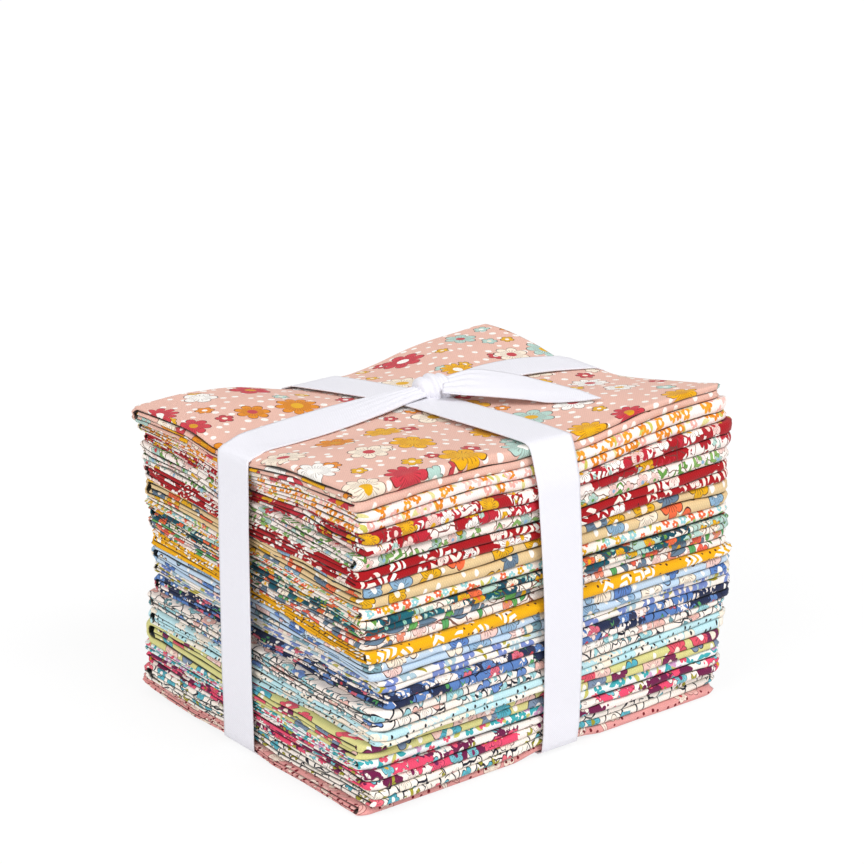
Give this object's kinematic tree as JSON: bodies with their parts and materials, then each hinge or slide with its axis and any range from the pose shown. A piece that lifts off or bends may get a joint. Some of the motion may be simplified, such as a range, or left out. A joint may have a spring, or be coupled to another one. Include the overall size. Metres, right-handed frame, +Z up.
{
  "type": "tied bundle of folded fat quarters",
  "caption": "Neat stack of folded quilting cotton fat quarters in assorted floral prints, tied both ways with a white cotton ribbon knotted on top.",
  "frame": {"origin": "middle of the stack's footprint, on the surface that the bundle rests on", "axes": "+Z up, +X along the longer folded side, and -Y towards the side that shows two round folds on most fat quarters"},
  "size_m": [0.1483, 0.1258, 0.1045],
  "materials": {
    "print_01": "plain-weave quilting cotton, salmon pink with white dots and mixed flowers",
    "print_02": "plain-weave quilting cotton, white with orange and pink blossoms and lime sprigs",
    "print_03": "plain-weave quilting cotton, cream with crimson and mustard flowers",
    "print_04": "plain-weave quilting cotton, cream with green leaves and aqua flowers",
    "print_05": "plain-weave quilting cotton, deep red with white flowers",
    "print_06": "plain-weave quilting cotton, tan with white dots and mixed flowers",
    "print_07": "plain-weave quilting cotton, white with tiny orange, teal and lime flowers",
    "print_08": "plain-weave quilting cotton, dark teal with orange and cream flowers",
    "print_09": "plain-weave quilting cotton, cream with green leaves and orange flowers",
    "print_10": "plain-weave quilting cotton, mustard with white sprigs",
    "print_11": "plain-weave quilting cotton, light blue with white dots and mixed flowers",
    "print_12": "plain-weave quilting cotton, cream with lime leaves and pale blue flowers",
    "print_13": "plain-weave quilting cotton, cream with navy, blue and pink flowers",
    "print_14": "plain-weave quilting cotton, cream with grey-teal and pink flowers",
    "print_15": "plain-weave quilting cotton, pale aqua with tiny black dots",
    "print_16": "plain-weave quilting cotton, pale olive with white dots and crimson and slate flowers",
    "print_17": "plain-weave quilting cotton, pale aqua with coral and lilac flowers",
    "print_18": "plain-weave quilting cotton, plum with pink and teal flowers",
    "print_19": "plain-weave quilting cotton, cream with olive leaves and pink flowers",
    "print_20": "plain-weave quilting cotton, dusty pink with dark red dots and cream flowers",
    "ribbon_white": "finely woven white cotton ribbon, plain"
  },
  "bodies": {
    "root": {"fat_quarter_01": "print_01", "fat_quarter_02": "print_02", "fat_quarter_03": "print_03", "fat_quarter_04": "print_04", "fat_quarter_05": "print_05", "fat_quarter_06": "print_06", "fat_quarter_07": "print_07", "fat_quarter_08": "print_08", "fat_quarter_09": "print_09", "fat_quarter_10": "print_10", "fat_quarter_11": "print_11", "fat_quarter_12": "print_12", "fat_quarter_13": "print_13", "fat_quarter_14": "print_14", "fat_quarter_15": "print_15", "fat_quarter_16": "print_16", "fat_quarter_17": "print_17", "fat_quarter_18": "print_18", "fat_quarter_19": "print_19", "fat_quarter_20": "print_20", "ribbon": "ribbon_white"}
  },
  "joints": []
}
